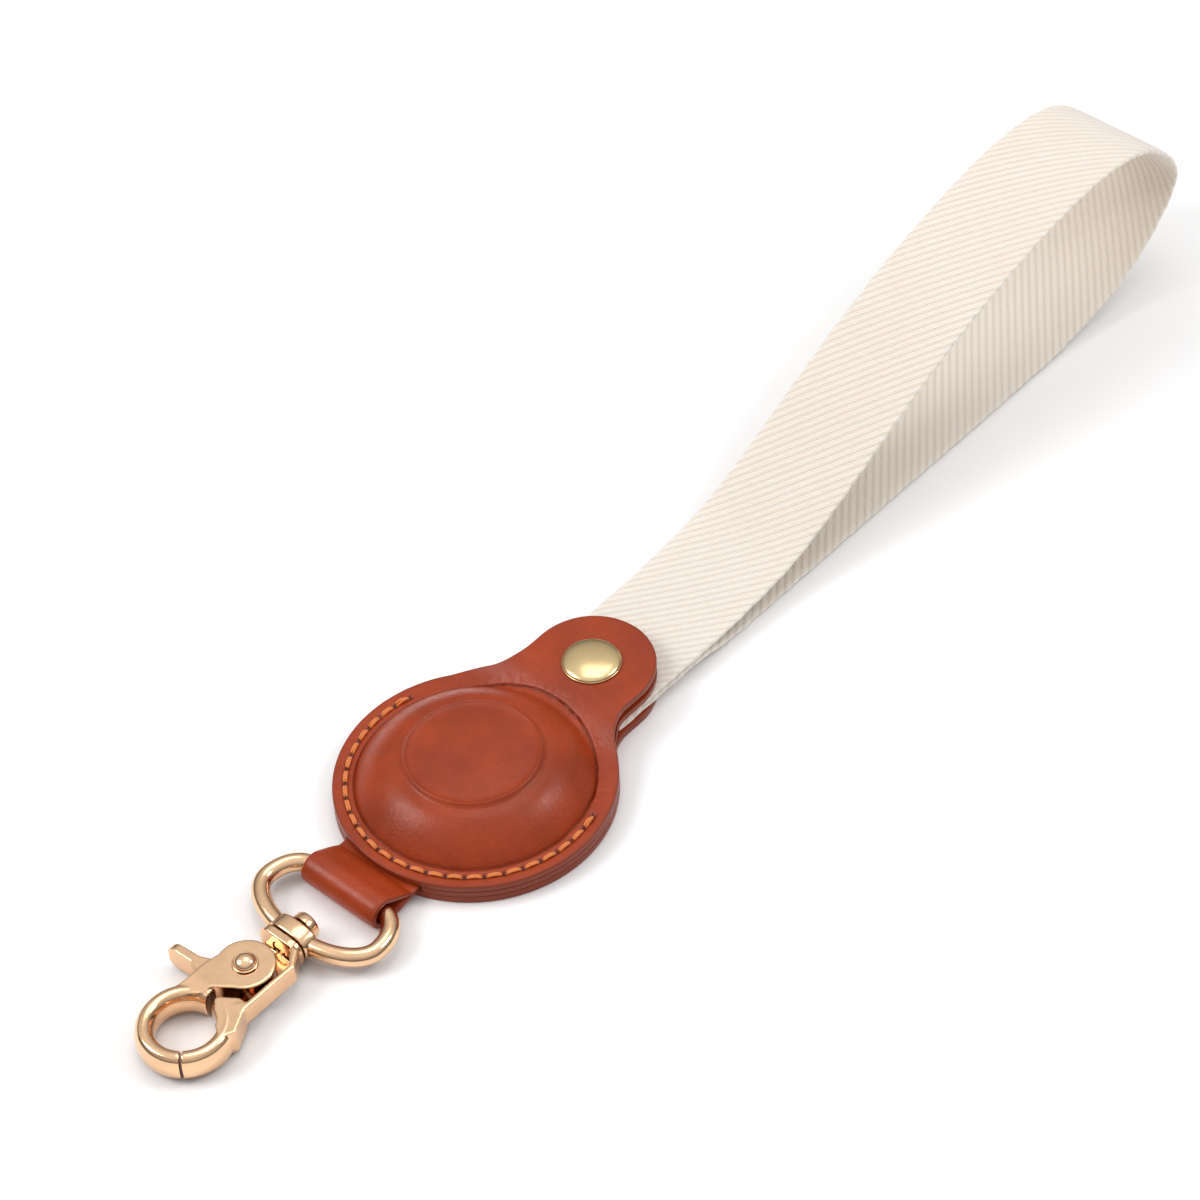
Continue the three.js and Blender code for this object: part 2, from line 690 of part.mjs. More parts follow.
// A torsion coil round the rivet, under the lever's hub.
class SpringCoil extends THREE.Curve {
  getPoint(t, target = new THREE.Vector3()) {
    const turns = 1.6;
    const angle = 2 * Math.PI * turns * t;
    const radius = rivet_radius + 0.9 + 0.75 * t;
    const height = jaw_low + plate_thickness + 0.12 + spring_wire / 2;
    return target.set(radius * Math.cos(angle), rivet_y + radius * Math.sin(angle), height);
  }
}

function leverSpring() {
  const options = { steps: 36, extrudePath: new SpringCoil(), bevelEnabled: false };
  return solid(new THREE.ExtrudeGeometry(wireSection(spring_wire / 2, 8), options));
}

// ------------------------------------------------------------------ assembly

const finishes = {
  leather: { color: 0xa3472a, roughness: 0.42, metalness: 0 },
  thread: { color: 0xdc7a30, roughness: 0.7, metalness: 0 },
  webbing: { color: 0xefe5da, roughness: 0.9, metalness: 0 },
  clasp_metal: { color: 0xe9b98a, roughness: 0.18, metalness: 1 },
  snap_metal: { color: 0xd9bd7c, roughness: 0.22, metalness: 1 },
  spring_steel: { color: 0xb8bcc0, roughness: 0.35, metalness: 1 },
};

const wristlet = new THREE.Group();

function piece(name, finish, manifold) {
  const mesh = new THREE.Mesh(geometryOf(manifold), new THREE.MeshStandardMaterial(finishes[finish]));
  mesh.name = name;
  wristlet.add(mesh);
}

const front = frontSheet();

piece('back_cover', 'leather', backCover());
piece('liner', 'leather', liner());
piece('front_cover', 'leather', frontCover(front));
piece('flap', 'leather', flap(front));
piece('front_thread', 'thread', thread(front_top - thread_size + 0.2));
piece('back_thread', 'thread', thread(floor_gap));
piece('snap_post', 'snap_metal', snapPost());
piece('snap_stud', 'snap_metal', snapStud());
piece('snap_socket', 'snap_metal', snapSocket());
piece('snap_spring', 'spring_steel', snapSpring());
piece('snap_cap', 'snap_metal', snapCap());
piece('webbing_ends', 'webbing', webbingEnds());
piece('webbing_loop', 'webbing', webbingLoop());
piece('ring_loop', 'leather', ringLoop());
piece('d_ring', 'clasp_metal', dRing());
piece('swivel_pin', 'clasp_metal', swivelPin());
piece('hook_body', 'clasp_metal', hookBody());
piece('lever', 'clasp_metal', lever());
piece('lever_rivet', 'clasp_metal', leverRivet());
piece('lever_spring', 'spring_steel', leverSpring());

export default wristlet;
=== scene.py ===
"""Wristlet keychain: the looks of a leather tag pouch with a webbing wrist loop and a lobster clasp."""

import json
import math

import bpy
from mathutils import Matrix, Vector, noise

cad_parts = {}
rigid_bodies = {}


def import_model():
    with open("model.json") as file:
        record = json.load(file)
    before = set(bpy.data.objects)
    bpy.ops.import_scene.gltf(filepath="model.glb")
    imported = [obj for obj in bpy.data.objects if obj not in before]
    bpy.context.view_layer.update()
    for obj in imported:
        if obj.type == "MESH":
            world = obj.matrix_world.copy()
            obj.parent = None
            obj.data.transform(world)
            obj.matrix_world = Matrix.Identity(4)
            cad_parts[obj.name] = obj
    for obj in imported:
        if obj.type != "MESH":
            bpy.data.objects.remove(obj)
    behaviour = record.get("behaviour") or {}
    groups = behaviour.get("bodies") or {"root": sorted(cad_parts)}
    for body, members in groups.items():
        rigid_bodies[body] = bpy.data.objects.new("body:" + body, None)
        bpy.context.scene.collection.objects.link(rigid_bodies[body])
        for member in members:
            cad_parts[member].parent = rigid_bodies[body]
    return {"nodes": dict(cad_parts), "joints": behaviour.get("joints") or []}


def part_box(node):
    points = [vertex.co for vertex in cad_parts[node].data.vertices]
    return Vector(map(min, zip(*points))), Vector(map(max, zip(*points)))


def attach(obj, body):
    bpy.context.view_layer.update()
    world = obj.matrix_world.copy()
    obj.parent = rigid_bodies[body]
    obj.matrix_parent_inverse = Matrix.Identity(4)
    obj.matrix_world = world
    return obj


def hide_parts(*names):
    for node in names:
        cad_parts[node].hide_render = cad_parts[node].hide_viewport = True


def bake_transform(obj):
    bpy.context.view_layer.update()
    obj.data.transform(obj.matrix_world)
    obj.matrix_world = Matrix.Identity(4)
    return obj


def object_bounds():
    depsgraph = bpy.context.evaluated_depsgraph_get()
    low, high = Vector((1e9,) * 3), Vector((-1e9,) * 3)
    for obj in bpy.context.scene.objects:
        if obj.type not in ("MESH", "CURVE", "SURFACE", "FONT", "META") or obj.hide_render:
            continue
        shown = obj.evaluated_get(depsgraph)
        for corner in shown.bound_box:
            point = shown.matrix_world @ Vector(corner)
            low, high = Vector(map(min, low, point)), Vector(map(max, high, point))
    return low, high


bl_info = {
    "name": "Wristlet keychain",
    "version": (1, 0, 0),
    "blender": (4, 5, 0),
    "location": "View3D > Sidebar > Wristlet",
    "description": "Builds a leather tag pouch with a webbing wrist loop and a swivel clasp",
    "category": "Object",
}

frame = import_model()
CAD_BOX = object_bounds()
MM = 0.001

# ------------------------------------------------------------------ sizes from the frame


def low(node):
    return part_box(node)[0]


def high(node):
    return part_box(node)[1]


def joint_place(name):
    return Vector(next(j["pos_m"] for j in frame["joints"] if j["name"] == name))


# Outline that the three leathers share.
DISC = -low("back_cover").y
NECK_END = high("back_cover").y
SNAP_Y = (low("snap_cap").y + high("snap_cap").y) / 2
NECK_HALF = NECK_END - SNAP_Y
FILLET = 8 * MM
FILLET_X = NECK_HALF + FILLET
FILLET_Y = math.sqrt((DISC + FILLET) ** 2 - FILLET_X**2)

# Levels of the layers above the table.
LINER_LOW = low("liner").z
LINER_NECK_TOP = high("liner").z
LINER_THICK = 1.0 * MM
FRONT_LOW = low("front_cover").z
FRONT_THICK = 1.2 * MM
FLAP_LOW = low("snap_cap").z - 0.05 * MM
DOME_TOP = high("front_cover").z
LAYER_ROOM = 0.02 * MM  # how far a leather stops short of the one above it

# Seam and dome.
THREAD = 0.6 * MM
SEAM_RADIUS = high("front_thread").x - THREAD / 2
SEAM_END = high("front_thread").y
DOME_RADIUS = SEAM_RADIUS - 1.4 * MM
DOME_THICK = 1.1 * MM
RING_RADIUS = 10.8 * MM
TAG_RADIUS = 16.3 * MM
RIM = SEAM_RADIUS + 0.9 * MM

# Webbing.
WEBBING_HALF = high("webbing_loop").x
PLY = 1.05 * MM
LOOP_REACH = 133 * MM
LOOP_TOP = high("webbing_loop").z - PLY / 2
UPPER_PLY = high("webbing_ends").z - PLY / 2
LOWER_PLY = low("webbing_ends").z + PLY / 2
WEBBING_START = low("webbing_ends").y + 0.2 * MM

# Clasp.
BAR = joint_place("ring_hinge")
ARC = joint_place("hook_swivel")
RIVET = joint_place("lever_hinge")
WIRE = high("d_ring").y - BAR.y
RING_HALF = high("d_ring").x - WIRE
CAP_RADIUS = high("snap_cap").x
SOCKET_RADIUS = high("snap_socket").x

# --------------------------------------------------------------------- what a user can set


class WristletSizes(bpy.types.PropertyGroup):
    """Sizes that change the look and not the fit."""

    stitches: bpy.props.IntProperty(
        name="Stitches", description="Stitches along the seam", default=25, min=10, max=60
    )
    thread: bpy.props.FloatProperty(
        name="Thread", description="Width of one strand", default=0.42 * MM, unit="LENGTH"
    )
    rib: bpy.props.FloatProperty(
        name="Rib", description="Distance between the ribs of the twill", default=1.28 * MM, unit="LENGTH"
    )
    grain: bpy.props.FloatProperty(
        name="Grain", description="Size of the leather's pebbles", default=0.52 * MM, unit="LENGTH"
    )
    casting: bpy.props.FloatProperty(
        name="Casting", description="Fineness of the cast metal's skin", default=0.10 * MM, unit="LENGTH"
    )


def colour_choice(name, description, default):
    return bpy.props.FloatVectorProperty(
        name=name, description=description, default=default, subtype="COLOR", size=3, min=0, max=1
    )


class WristletColours(bpy.types.PropertyGroup):
    """Colours of the finishes."""

    leather: colour_choice("Leather", "Chestnut of the leather's face", (0.325, 0.040, 0.007))
    edge_paint: colour_choice("Edge paint", "Paint on the cut edges", (0.23, 0.032, 0.008))
    thread: colour_choice("Thread", "Waxed thread", (0.82, 0.22, 0.030))
    webbing: colour_choice("Webbing", "Cream twill", (0.84, 0.78, 0.715))
    clasp: colour_choice("Clasp", "Rose gold plating", (0.93, 0.60, 0.36))
    snap: colour_choice("Snap", "Pale brass plating", (0.80, 0.60, 0.31))


# ----------------------------------------------------------------------- modelling helpers


def deselect_all():
    for obj in bpy.context.view_layer.objects:
        obj.select_set(False)


def select_only(obj):
    deselect_all()
    obj.select_set(True)
    bpy.context.view_layer.objects.active = obj


def apply_modifier(obj, kind, **settings):
    select_only(obj)
    modifier = obj.modifiers.new(kind, kind)
    for name, value in settings.items():
        setattr(modifier, name, value)
    bpy.ops.object.modifier_apply(modifier=modifier.name)


def close_and_turn_out(obj):
    """Merges what lies on the same spot, closes the open ends and points the faces outwards."""
    select_only(obj)
    bpy.ops.object.mode_set(mode="EDIT")
    bpy.ops.mesh.select_all(action="SELECT")
    bpy.ops.mesh.remove_doubles(threshold=1e-7)
    bpy.ops.mesh.dissolve_degenerate(threshold=1e-8)
    bpy.ops.mesh.select_all(action="SELECT")
    bpy.ops.mesh.fill_holes(sides=0)
    bpy.ops.mesh.select_all(action="SELECT")
    bpy.ops.mesh.normals_make_consistent(inside=False)
    bpy.ops.object.mode_set(mode="OBJECT")


def sleeve(name, around, along, place, marks=()):
    """A grid rolled into a closed skin. place(a, b) gives the point at share a round it and share b
    along it, and then a value for each named mark."""
    deselect_all()
    bpy.ops.mesh.primitive_grid_add(x_subdivisions=around, y_subdivisions=along, size=1)
    obj = bpy.context.object
    obj.name = obj.data.name = name
    values = {mark: [] for mark in marks}
    for vertex in obj.data.vertices:
        found = place(vertex.co.x + 0.5, vertex.co.y + 0.5)
        vertex.co = found[0]
        for mark, value in zip(marks, found[1:]):
            values[mark].append(value)
    for mark in marks:
        attribute = obj.data.attributes.new(mark, "FLOAT", "POINT")
        attribute.data.foreach_set("value", values[mark])
    close_and_turn_out(obj)
    return obj


def turned(name, profile, segments=96, turn=None, place=(0, 0, 0)):
    """A round solid from its (radius, height) profile, stood at a place."""
    move = Matrix.Translation(Vector(place)) @ (turn or Matrix.Identity(4))

    def point(a, b):
        radius, height = profile[round(b * (len(profile) - 1))]
        angle = 2 * math.pi * a
        return (move @ Vector((radius * math.cos(angle), radius * math.sin(angle), height)),)

    return sleeve(name, segments, len(profile) - 1, point)


def arc(centre, radius, start, end, steps):
    """Points of an arc in a profile, from one angle to another in degrees."""
    points = []
    for i in range(steps + 1):
        angle = math.radians(start + (end - start) * i / steps)
        points.append((centre[0] + radius * math.cos(angle), centre[1] + radius * math.sin(angle)))
    return points


def evenly(points, count):
    """The same line in count equal steps, and its length."""
    lengths = [0.0]
    for before, after in zip(points, points[1:]):
        lengths.append(lengths[-1] + (after - before).length)
    spaced = []
    k = 0
    for i in range(count + 1):
        wanted = lengths[-1] * i / count
        while k < len(points) - 2 and lengths[k + 1] < wanted:
            k += 1
        share = (wanted - lengths[k]) / (lengths[k + 1] - lengths[k])
        spaced.append(points[k].lerp(points[k + 1], share))
    return spaced, lengths[-1]


def soft_curve(points, steps=12):
    """A smooth line through the points."""
    line = []
    ends = [2 * points[0] - points[1], *points, 2 * points[-1] - points[-2]]
    for p0, p1, p2, p3 in zip(ends, ends[1:], ends[2:], ends[3:]):
        for i in range(steps):
            t = i / steps
            line.append(
                0.5 * (2 * p1 + (p2 - p0) * t + (2 * p0 - 5 * p1 + 4 * p2 - p3) * t**2
                       + (3 * p1 - p0 - 3 * p2 + p3) * t**3)
            )
    return [*line, points[-1]]


def rounded_power(value, power):
    return math.copysign(abs(value) ** power, value)


def smooth(t):
    t = min(max(t, 0), 1)
    return t * t * (3 - 2 * t)


def cast(obj, fineness, rounds):
    """Gives a solid the soft edges of a polished casting."""
    apply_modifier(obj, "REMESH", mode="VOXEL", voxel_size=fineness, use_smooth_shade=True)
    apply_modifier(obj, "SMOOTH", factor=0.5, iterations=rounds)
    return obj


def copy_of(node, name):
    """A copy of a CAD node's solid with its doubles merged, to shape further."""
    mesh = frame["nodes"][node].data.copy()
    mesh.name = name
    mesh.materials.clear()
    obj = bpy.data.objects.new(name, mesh)
    bpy.context.scene.collection.objects.link(obj)
    select_only(obj)
    bpy.ops.object.mode_set(mode="EDIT")
    bpy.ops.mesh.select_all(action="SELECT")
    bpy.ops.mesh.remove_doubles(threshold=1e-6)
    bpy.ops.object.mode_set(mode="OBJECT")
    return obj


def joined(name, *objs):
    """Several meshes as one."""
    deselect_all()
    for obj in objs:
        obj.select_set(True)
    bpy.context.view_layer.objects.active = objs[0]
    bpy.ops.object.join()
    objs[0].name = objs[0].data.name = name
    return objs[0]


def cut_away(obj, tool):
    apply_modifier(obj, "BOOLEAN", operation="DIFFERENCE", object=tool, solver="EXACT")
    bpy.data.objects.remove(tool)


def finish_piece(obj, material, nodes, body=None, angle=40):
    select_only(obj)
    bpy.ops.object.shade_smooth_by_angle(angle=math.radians(angle))
    obj.data.materials.clear()
    obj.data.materials.append(material)
    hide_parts(*nodes)
    if body:
        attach(obj, body)
    return obj


# ------------------------------------------------------------------------------- materials


class Shader:
    """A material's nodes, added one after another."""

    def __init__(self, name, **constants):
        self.material = bpy.data.materials.get(name) or bpy.data.materials.new(name)
        self.material.use_nodes = True
        self.nodes = self.material.node_tree.nodes
        self.links = self.material.node_tree.links
        self.surface = self.nodes["Principled BSDF"]
        self.coords = self.nodes.new("ShaderNodeTexCoord").outputs["Object"]
        for socket, value in constants.items():
            self.surface.inputs[socket.replace("_", " ")].default_value = value

    def feed(self, socket, value):
        if isinstance(value, bpy.types.NodeSocket):
            self.links.new(value, socket)
        else:
            socket.default_value = value

    def node(self, kind, inputs, output=0, **settings):
        made = self.nodes.new(kind)
        for name, value in settings.items():
            setattr(made, name, value)
        for name, value in inputs.items():
            self.feed(made.inputs[name], value)
        return made.outputs[output]

    def noise(self, size, detail=3.0, roughness=0.5):
        inputs = {"Vector": self.coords, "Scale": 1 / size, "Detail": detail, "Roughness": roughness}
        return self.node("ShaderNodeTexNoise", inputs)

    def pebbles(self, size):
        inputs = {"Vector": self.coords, "Scale": 1 / size}
        return self.node("ShaderNodeTexVoronoi", inputs, feature="SMOOTH_F1")

    def mark(self, name):
        return self.node("ShaderNodeAttribute", {}, output=2, attribute_name=name)

    def math(self, operation, first, second=0.0):
        return self.node("ShaderNodeMath", {0: first, 1: second}, operation=operation)

    def spread(self, value, low_in, high_in, low_out, high_out):
        inputs = {0: value, 1: low_in, 2: high_in, 3: low_out, 4: high_out}
        return self.node("ShaderNodeMapRange", inputs)

    def mix(self, share, first, second):
        inputs = {0: share, 6: first, 7: second}
        return self.node("ShaderNodeMix", inputs, output=2, data_type="RGBA")

    def bump(self, height, depth, normal=None):
        inputs = {"Height": height, "Distance": depth, "Strength": 1.0}
        if normal:
            inputs["Normal"] = normal
        return self.node("ShaderNodeBump", inputs)

    def drive(self, socket, value):
        self.links.new(value, self.surface.inputs[socket])


def tint(colour, factor):
    return (*[min(c * factor, 1) for c in colour], 1)


def leather_finish(sizes, colours):
    """Smooth glossy leather: mottled chestnut, fine pebbles, painted cut edges, and painted shade in the
    dome's crease, along the seam and in the stitch holes.
    """
    shader = Shader("chestnut_leather", Coat_Weight=0.16, Coat_Roughness=0.26, Specular_IOR_Level=0.24)
    cloud = shader.spread(shader.noise(9 * MM, 4), 0.35, 0.65, 0.0, 1.0)
    fine = shader.spread(shader.noise(0.9 * MM, 3), 0.3, 0.7, 0.0, 1.0)
    face = shader.mix(cloud, tint(colours.leather, 0.86), tint(colours.leather, 1.14))
    speckled = shader.mix(shader.math("MULTIPLY", fine, 0.18), face, tint(colours.leather, 0.55))
    painted = shader.mix(shader.mark("edge"), speckled, tint(colours.edge_paint, 1.0))
    # Painted shade: the mark read here darkens the face towards near-black in the dome's crease, along the
    # seam and in the stitch holes.
    with_painted_shade = shader.mix(shader.mark("pressing_and_painted_shade"), painted, tint(colours.leather, 0.10))
    shader.drive("Base Color", with_painted_shade)
    shader.drive("Roughness", shader.spread(shader.noise(1.6 * MM, 4), 0.3, 0.7, 0.30, 0.46))
    pebbles = shader.bump(shader.pebbles(sizes.grain), 0.045 * MM)
    pores = shader.bump(shader.noise(0.16 * MM, 4, 0.6), 0.010 * MM, pebbles)
    shader.drive("Normal", shader.bump(shader.noise(3.2 * MM, 2), 0.030 * MM, pores))
    return shader.material


def thread_finish(colours):
    """Waxed twisted thread, darkened with painted shade in the grooves between its plies and lightened on
    their crowns as a painted highlight.
    """
    shader = Shader("waxed_thread", Coat_Weight=0.15, Coat_Roughness=0.3, Sheen_Weight=0.25)
    fuzz = shader.noise(0.12 * MM, 4, 0.7)
    painted_ply_shade = shader.mark("painted_ply_shade")
    # Painted shade in the grooves between the plies, painted highlight on their crowns.
    colour = shader.mix(painted_ply_shade, tint(colours.thread, 0.55), tint(colours.thread, 1.15))
    shader.drive("Base Color", colour)
    shader.drive("Roughness", shader.spread(fuzz, 0.3, 0.7, 0.45, 0.62))
    shader.drive("Normal", shader.bump(fuzz, 0.02 * MM))
    return shader.material


def webbing_finish(sizes, colours):
    """Twill webbing: slanted ribs, each made of short floats of yarn."""
    shader = Shader("cream_webbing", Sheen_Weight=0.3, Sheen_Roughness=0.5, Subsurface_Weight=0.45,
                    Subsurface_Scale=1.6 * MM, Subsurface_Radius=(1.0, 0.78, 0.64))
    across = shader.mark("across")
    along = shader.mark("along")
    turn = 2 * math.pi / sizes.rib
    lean = math.radians(-52)
    wander = shader.math("MULTIPLY", shader.noise(3 * MM, 2), 0.5)
    phase = shader.math(
        "ADD",
        shader.math("MULTIPLY", across, turn * math.sin(lean)),
        shader.math("MULTIPLY", along, turn * math.cos(lean)),
    )
    rib = shader.math("SINE", shader.math("ADD", phase, wander))
    crown = shader.spread(rib, -1.0, 1.0, 0.0, 1.0)
    yarn = 2 * math.pi / (0.52 * MM)
    slant = shader.math("MULTIPLY", phase, 0.5)
    float_phase = shader.math("ADD", shader.math("MULTIPLY", along, yarn), slant)
    floats = shader.spread(shader.math("SINE", float_phase), -1.0, 1.0, 0.0, 1.0)
    height = shader.math("ADD", shader.math("POWER", crown, 0.5), shader.math("MULTIPLY", floats, 0.5))
    fibre = shader.noise(0.11 * MM, 3, 0.7)
    # Painted shade: darker in the gaps between the ribs and floats, lighter on their crowns; a lighter cut
    # of the same darker tone also colours the random patches.
    shade = shader.spread(height, 0.2, 1.3, 0.0, 1.0)
    gap_shade_and_patch_tone = (colours.webbing[0] * 0.87, colours.webbing[1] * 0.81, colours.webbing[2] * 0.75)
    colour = shader.mix(shade, tint(gap_shade_and_patch_tone, 1.0), tint(colours.webbing, 1.04))
    patches = shader.spread(shader.noise(14 * MM, 3), 0.3, 0.7, 0.0, 0.25)
    patchy = shader.mix(patches, colour, tint(gap_shade_and_patch_tone, 1.1))
    shader.drive("Base Color", patchy)
    shader.drive("Roughness", shader.spread(fibre, 0.3, 0.7, 0.78, 0.95))
    weave = shader.bump(height, 0.12 * MM)
    shader.drive("Normal", shader.bump(fibre, 0.03 * MM, weave))
    return shader.material


def metal_finish(name, colour, gloss):
    """Polished plating with faint waviness and fine rub marks, darkened with painted shade inside crevices.
    """
    shader = Shader(name, Metallic=1.0)
    rub = shader.noise(0.6 * MM, 5, 0.65)
    tone = shader.spread(shader.noise(5 * MM, 3), 0.3, 0.7, 0.0, 1.0)
    plating = shader.mix(tone, tint(colour, 0.93), tint(colour, 1.05))
    # Painted shade: an ambient occlusion mask turns the plating deep brown in crevices and recesses.
    openness = shader.node("ShaderNodeAmbientOcclusion", {"Distance": 3 * MM}, output=1, samples=8)
    painted_crevice_shade = (colour[0] * 0.34, colour[1] * 0.20, colour[2] * 0.12, 1)
    shader.drive("Base Color", shader.mix(shader.spread(openness, 0.25, 0.80, 0.0, 1.0), painted_crevice_shade, plating))
    shader.drive("Roughness", shader.spread(rub, 0.3, 0.7, gloss, gloss + 0.10))
    waves = shader.bump(shader.noise(2.4 * MM, 2), 0.012 * MM)
    shader.drive("Normal", shader.bump(rub, 0.0015 * MM, waves))
    return shader.material


def spring_finish():
    """Spring wire darkened to stand in for the shade of the cavity it sits in, made once for both springs.
    """
    # The near-black colour is painted shade of the clasp's cavity, not the steel's own colour.
    return bpy.data.materials.get("spring_wire") or metal_finish("spring_wire", (0.22, 0.19, 0.17), 0.3)


def floor_finish():
    shader = Shader("pale_floor", Roughness=0.65, Specular_IOR_Level=0.25)
    shade = shader.spread(shader.noise(40 * MM, 2), 0.3, 0.7, 0.0, 1.0)
    shader.drive("Base Color", shader.mix(shade, (0.93, 0.93, 0.935, 1), (0.95, 0.95, 0.95, 1)))
    return shader.material


# --------------------------------------------------------------------------- leather pieces


def outline_reach(angle):
    """Distance from the middle of the pouch to the keyhole outline."""
    across, up = abs(math.cos(angle)), math.sin(angle)
    slope = math.atan2(up, across)
    if slope < math.atan2(FILLET_Y, FILLET_X):
        return DISC
    if slope < math.atan2(FILLET_Y, NECK_HALF):
        middle = across * FILLET_X + up * FILLET_Y
        return middle - math.sqrt(max(middle**2 - FILLET_X**2 - FILLET_Y**2 + FILLET**2, 0))
    if slope < math.atan2(SNAP_Y, NECK_HALF):
        return NECK_HALF / across
    return SNAP_Y * up + math.sqrt(NECK_HALF**2 - (SNAP_Y * across) ** 2)


def stitch_angles(count):
    """Angle of each stitch's middle, round the lower side of the pouch."""
    end = math.asin(SEAM_END / SEAM_RADIUS)
    span = math.pi + 2 * end
    return [end - span * (i + 0.5) / count for i in range(count)], span / count


def on_neck_side(x, y):
    return smooth((y - SEAM_END + 0.5 * MM) / (2 * MM))


def groove(distance, width):
    return math.exp(-((distance / width) ** 2))


def shoulder_height(radius):
    """Outside of the dome from its crease up to the plateau with the embossed ring."""
    foot = RING_RADIUS + 0.8 * MM
    base = FRONT_LOW + FRONT_THICK
    foot_height = DOME_TOP - 0.95 * MM
    if radius > foot:
        t = (DOME_RADIUS - radius) / (DOME_RADIUS - foot)
        return base + (foot_height - base) * (1 - (1 - t) ** 1.75)
    step = smooth((foot - radius) / (0.8 * MM)) * 0.38 * MM
    crown = 0.45 * MM * (1 - (radius / foot) ** 2)
    ridge = 0.27 * MM * groove(radius - RING_RADIUS + 0.12 * MM, 0.26 * MM)
    return foot_height + step + crown + ridge


def ramp(y, rise, start, end):
    return rise * smooth((y - start) / (end - start))


def flap_rise(y):
    return ramp(y, FLAP_LOW - FRONT_LOW, DISC - 9.6 * MM, SNAP_Y - SOCKET_RADIUS - 0.1 * MM)


def front_top(x, y, holes):
    """Upper face of the front leather, and how much painted shade it gets in the dome's crease, along the
    seam and in the stitch holes.
    """
    radius = math.hypot(x, y)
    angle = math.atan2(y, x)
    neck = on_neck_side(x, y)
    waver = noise.noise(Vector((angle * 9, neck, 3.1))) + 0.6 * noise.noise(Vector((angle * 31, 1.7, neck)))
    crease = DOME_RADIUS + 0.05 * MM * waver * (0.5 + neck)
    sheet = FRONT_LOW + FRONT_THICK + flap_rise(y)
    sheet += 0.05 * MM * noise.noise(Vector((x, y, 0)) * 330)
    height = sheet
    if radius < DOME_RADIUS:
        height = max(sheet, shoulder_height(radius))
    line = groove(radius - crease, 0.17 * MM)
    height -= (0.20 + 0.12 * neck) * MM * line
    # Painted shade darkens the crease at the dome's foot, beaded along it and stronger on the neck side.
    beads = 0.75 + 0.25 * math.sin(angle * 150)
    pressing_and_painted_shade = (0.50 + 0.12 * neck * beads) * line
    pucker = groove(radius - crease - 0.7 * MM, 1.2 * MM) * neck
    height += 0.08 * MM * pucker * noise.noise(Vector((angle * 42, radius * 500, 0.5)))
    seam = 0 if y > SEAM_END + 0.4 * MM else groove(radius - SEAM_RADIUS, 0.5 * MM)
    height -= 0.14 * MM * seam
    # Painted shade along the seam's groove.
    pressing_and_painted_shade += 0.10 * seam
    # Each stitch hole is a pit darkened with painted shade.
    if seam > 0.05:
        along = min(abs(angle - hole) for hole in holes) * SEAM_RADIUS
        spot = groove(along, 0.36 * MM) * groove(radius - SEAM_RADIUS, 0.40 * MM)
        height -= 0.42 * MM * spot
        pressing_and_painted_shade += 0.95 * spot
    return height, min(pressing_and_painted_shade, 1)


def ring_shares(inner, marks):
    """Radii of the mesh's rings out to the rim, closer together near each mark."""
    radii = [inner]
    while radii[-1] < RIM:
        nearest = min(abs(radii[-1] - mark) for mark in marks)
        radii.append(radii[-1] + (0.13 * MM if nearest < 0.8 * MM else 0.55 * MM))
    radii[-1] = RIM
    return radii


def cover(name, top, bottom, inner=0.0, inset=0.0, rounding=0.26 * MM, marks=(0,), beyond=24, spokes=400):
    """A leather cut to the keyhole outline, with a rounded cut edge.
    top(x, y) gives its upper face and how much painted shade it gets there, and bottom(x, y) its lower
    face."""
    radii = ring_shares(inner, marks)
    faces = [("rings", r) for r in radii] + [("rest", (i + 1) / beyond) for i in range(beyond)]
    edge = [("edge", math.pi / 2 - math.pi * (i + 1) / 10) for i in range(9)]
    under = [("under_" + kind, value) for kind, value in reversed(faces)]
    stations = [*faces, *edge, *under]
    if inner:
        stations.append(stations[0])

    def place(a, b):
        angle = 2 * math.pi * a
        kind, value = stations[round(b * (len(stations) - 1))]
        reach = outline_reach(angle) - inset
        flat = reach - rounding
        if kind.endswith("rings"):
            radius = value
        elif kind.endswith("rest"):
            radius = RIM + (flat - RIM) * value
        else:
            radius = flat + rounding * math.cos(value) ** 0.8
        x, y = radius * math.cos(angle), radius * math.sin(angle)
        upper, pressing_and_painted_shade = top(x, y)
        lower = bottom(x, y)
        if kind == "edge":
            z = (upper + lower) / 2 + (upper - lower) / 2 * rounded_power(math.sin(value), 0.7)
            return Vector((x, y, z)), 1.0, 0.0
        if kind.startswith("under"):
            return Vector((x, y, lower)), 0.0, 0.0
        worn = max(0, 1 - (flat - radius) / (0.25 * MM)) if kind == "rest" else 0
        return Vector((x, y, upper)), 0.55 * worn, pressing_and_painted_shade

    return sleeve(name, spokes, len(stations) - 1, place, marks=("edge", "pressing_and_painted_shade"))


def front_leather(sizes, leather):
    """Front cover and flap in one piece, so that it bends where the flap opens."""
    angles, step = stitch_angles(sizes.stitches)
    holes = [angles[0] + step / 2] + [angle - step / 2 for angle in angles]
    holes += [hole + 2 * math.pi for hole in holes if hole < -math.pi]

    def top(x, y):
        return front_top(x, y, holes)

    def bottom(x, y):
        radius = math.hypot(x, y)
        sheet = FRONT_LOW + flap_rise(y)
        hollow = DOME_RADIUS - DOME_THICK
        if radius > hollow:
            return sheet
        return max(sheet, shoulder_height(radius + 0.5 * DOME_THICK) - DOME_THICK)

    marks = (DOME_RADIUS, RING_RADIUS, SEAM_RADIUS)
    obj = cover("front_leather", top, bottom, marks=marks)
    finish_piece(obj, leather, ["front_cover", "flap"], angle=60)
    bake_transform(obj)


